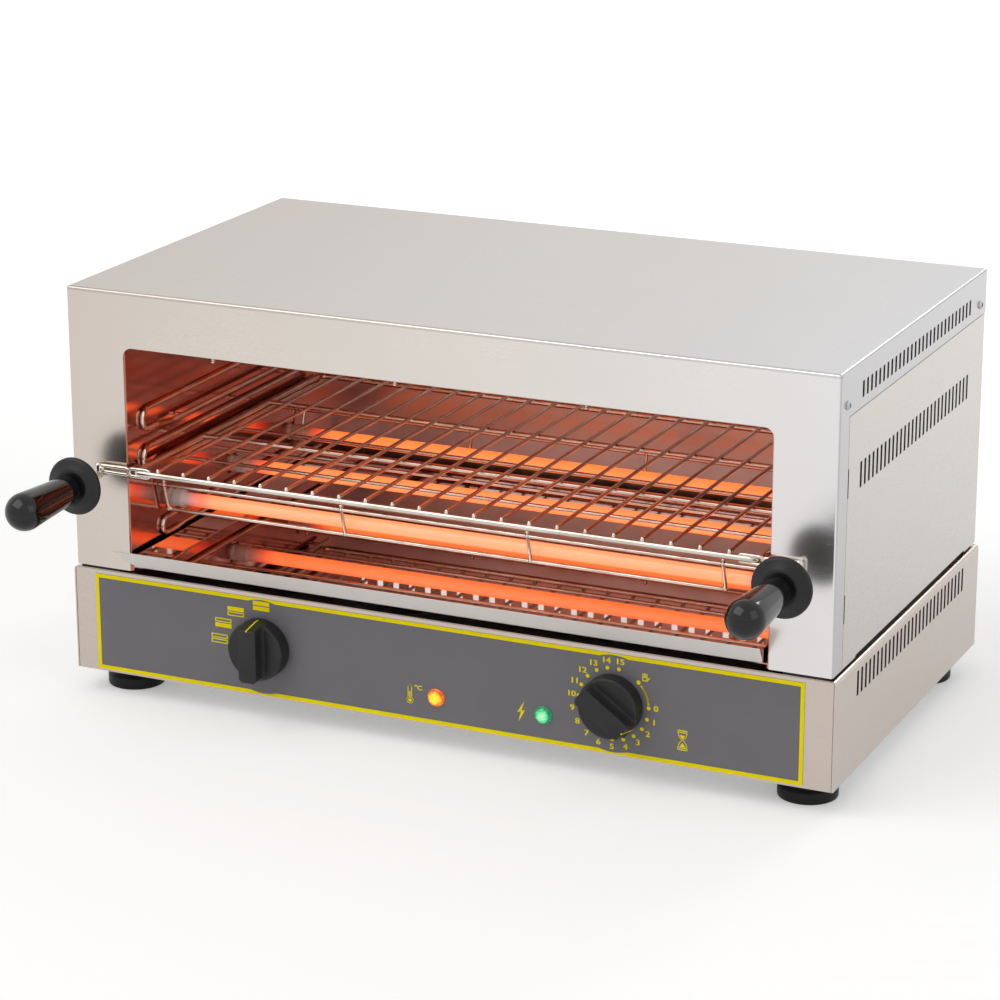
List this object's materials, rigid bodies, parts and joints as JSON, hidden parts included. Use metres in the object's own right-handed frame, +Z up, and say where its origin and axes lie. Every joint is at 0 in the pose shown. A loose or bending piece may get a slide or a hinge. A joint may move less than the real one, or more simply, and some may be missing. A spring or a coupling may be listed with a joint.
{
  "type": "salamander grill",
  "caption": "Open-front electric countertop grill: a pull-out wire rack between quartz heating tubes, a crumb tray below and a control base with selector and timer knobs.",
  "frame": {"origin": "on the worktop, in the middle of the whole appliance's width and depth", "axes": "+X to the right seen from the front, +Y from the open front to the back, +Z up"},
  "size_m": [0.64, 0.491, 0.335],
  "materials": {
    "stainless": "brushed stainless sheet",
    "cavity_steel": "bright rolled steel, tinted by heat",
    "tray_steel": "polished steel sheet",
    "wire": "bright drawn wire",
    "black_plastic": "satin moulded plastic",
    "handle_plastic": "glossy heat-proof plastic",
    "label": "grey printed film with a yellow border",
    "spacer": "black strip",
    "quartz": "clear fused quartz",
    "coil": "glowing resistance wire",
    "ceramic": "unglazed ceramic",
    "amber": "lit amber lens",
    "green": "green lens",
    "rubber": "moulded rubber",
    "zinc": "zinc-plated steel",
    "control_body": "moulded housing",
    "block": "heat-proof block",
    "lead": "silicone-covered lead"
  },
  "bodies": {
    "root": {"amber_lamp": "control_body", "amber_lens": "amber", "base_bottom": "zinc", "base_casing": "stainless", "base_front": "stainless", "body_spacer_left": "spacer", "body_spacer_right": "spacer", "cable_gland": "black_plastic", "cavity_ceiling": "cavity_steel", "control_label": "label", "cover": "stainless", "cover_screws": "zinc", "feet": "rubber", "foot_studs": "zinc", "green_lamp": "control_body", "green_lens": "green", "limit_thermostat": "control_body", "liner_back": "cavity_steel", "liner_left": "cavity_steel", "liner_right": "cavity_steel", "lower_caps": "ceramic", "lower_coils": "coil", "lower_guard_front": "wire", "lower_guard_rear": "wire", "lower_guard_rods": "wire", "lower_tube_front": "quartz", "lower_tube_middle": "quartz", "lower_tube_rear": "quartz", "rack_runner_left": "wire", "rack_runner_right": "wire", "rear_panel": "stainless", "rear_screws": "zinc", "selector_switch": "control_body", "side_panel_left": "stainless", "side_panel_right": "stainless", "terminal_block": "block", "timer_body": "control_body", "tray_rail_left": "cavity_steel", "tray_rail_right": "cavity_steel", "upper_caps": "ceramic", "upper_coils": "coil", "upper_guard_front": "wire", "upper_guard_rear": "wire", "upper_guard_rods": "wire", "upper_tube_front": "quartz", "upper_tube_middle": "quartz", "upper_tube_rear": "quartz", "wiring_harness": "lead"},
    "rack": {"wire_rack": "wire", "handle_links": "wire", "handle_shields": "handle_plastic", "handle_grips": "handle_plastic"},
    "tray": {"crumb_tray": "tray_steel"},
    "selector": {"selector_knob": "black_plastic", "selector_shaft": "zinc"},
    "timer": {"timer_knob": "black_plastic", "timer_shaft": "zinc"}
  },
  "joints": [
    {"name": "rack_slide", "type": "slide", "parent": "root", "child": "rack", "axis": [0, -1, 0], "range_m": [0, 0.24]},
    {"name": "tray_slide", "type": "slide", "parent": "root", "child": "tray", "axis": [0, -1, 0], "range_m": [0, 0.3]},
    {"name": "selector_turn", "type": "hinge", "parent": "root", "child": "selector", "pos_m": [-0.1505, -0.1185, 0.062], "axis": [0, 1, 0], "range_deg": [-90, 0]},
    {"name": "timer_turn", "type": "hinge", "parent": "root", "child": "timer", "pos_m": [0.1465, -0.1185, 0.062], "axis": [0, 1, 0], "range_deg": [-80.4, 243.1]}
  ]
}
